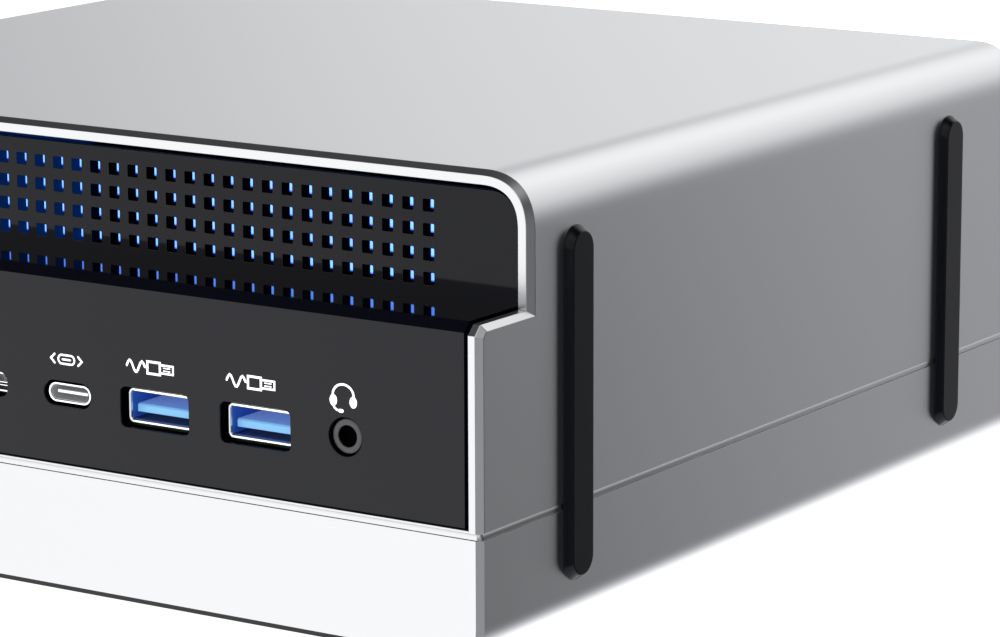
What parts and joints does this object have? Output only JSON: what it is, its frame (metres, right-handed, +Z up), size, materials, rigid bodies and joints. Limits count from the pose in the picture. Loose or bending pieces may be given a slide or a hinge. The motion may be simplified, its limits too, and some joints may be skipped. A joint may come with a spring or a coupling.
{
  "type": "desktop computer tower",
  "caption": "Compact box-shaped desktop computer with a stepped front, square-holed lit grille, front and rear sockets, a sprung power button, fans and strips for standing it on its side.",
  "frame": {"origin": "middle of the casing's footprint, on the surface that the rubber pads rest on", "axes": "+X to the right seen from the front, along the width; +Y to the back; +Z up"},
  "size_m": [0.197, 0.187, 0.0775],
  "materials": {
    "silver_shell": "fine bead-blasted, clear anodised",
    "black_gloss": "polished moulded black",
    "black_plate": "fine black powder coat",
    "rear_plastic": "fine spark-eroded texture",
    "soft_rubber": "matt",
    "light_plastic": "translucent, lit from behind",
    "clear_lens": "clear",
    "button_plastic": "satin black",
    "bright_steel": "bright nickel plate",
    "zinc_steel": "zinc plated sheet",
    "blue_plastic": "moulded blue",
    "connector_black": "moulded black",
    "circuit_board": "black solder mask",
    "chip_black": "moulded chip body",
    "copper": "bare copper",
    "fin_aluminium": "mill finish",
    "fan_plastic": "moulded glass-filled black",
    "brass_post": "turned",
    "black_screw": "black oxide",
    "led_white": "light emitting diodes"
  },
  "bodies": {
    "casing": {"upper_shell": "silver_shell", "base_shell": "silver_shell", "seam_bead": "silver_shell", "bottom_plate": "black_plate", "foot_pads": "soft_rubber", "side_strip_front": "soft_rubber", "side_strip_rear": "soft_rubber", "front_grille": "black_gloss", "front_panel": "black_gloss", "status_lens": "clear_lens", "light_guide": "light_plastic", "grille_lights": "led_white", "light_board": "circuit_board", "io_board": "circuit_board", "io_bracket": "zinc_steel", "usb_a_shell_right": "bright_steel", "usb_a_shell_left": "bright_steel", "usb_a_tongue_right": "blue_plastic", "usb_a_tongue_left": "blue_plastic", "usb_c_shell": "bright_steel", "usb_c_tongue": "bright_steel", "headset_jack": "connector_black", "card_reader": "bright_steel", "power_switch": "connector_black", "chassis_tray": "zinc_steel", "plate_screws": "black_screw", "board_standoffs": "brass_post", "mainboard": "circuit_board", "board_screws": "zinc_steel", "processor": "bright_steel", "power_stages": "chip_black", "board_sockets": "connector_black", "memory_modules": "circuit_board", "solid_state_drive": "circuit_board", "drive_heatsink": "fin_aluminium", "wireless_card": "circuit_board", "coin_cell": "bright_steel", "cold_plate": "copper", "cooler_platform": "zinc_steel", "heat_pipes_left": "copper", "heat_pipes_right": "copper", "fin_stack_left": "fin_aluminium", "fin_stack_right": "fin_aluminium", "fan_housing_left": "fan_plastic", "fan_housing_right": "fan_plastic", "dc_inlet": "connector_black", "video_ports": "bright_steel", "rear_usb_c": "bright_steel", "rear_usb_stacks": "bright_steel", "rear_usb_tongues": "blue_plastic", "lan_jack": "bright_steel", "rear_audio_jack": "connector_black", "rear_panel": "rear_plastic", "rear_screws": "black_screw", "wireless_antennas": "circuit_board"},
    "power_key": {"power_button": "button_plastic"},
    "left_fan": {"fan_rotor_left": "fan_plastic"},
    "right_fan": {"fan_rotor_right": "fan_plastic"}
  },
  "joints": [
    {"name": "power_press", "type": "slide", "parent": "casing", "child": "power_key", "axis": [0, 1, 0], "range_m": [0, 0.0006], "stiffness_N_per_m": 800, "springref_m": -0.0006},
    {"name": "left_fan_spin", "type": "hinge", "parent": "casing", "child": "left_fan", "pos_m": [-0.045, -0.005, 0.045], "axis": [0, 0, 1], "continuous": true},
    {"name": "right_fan_spin", "type": "hinge", "parent": "casing", "child": "right_fan", "pos_m": [0.045, -0.005, 0.045], "axis": [0, 0, 1], "continuous": true}
  ]
}
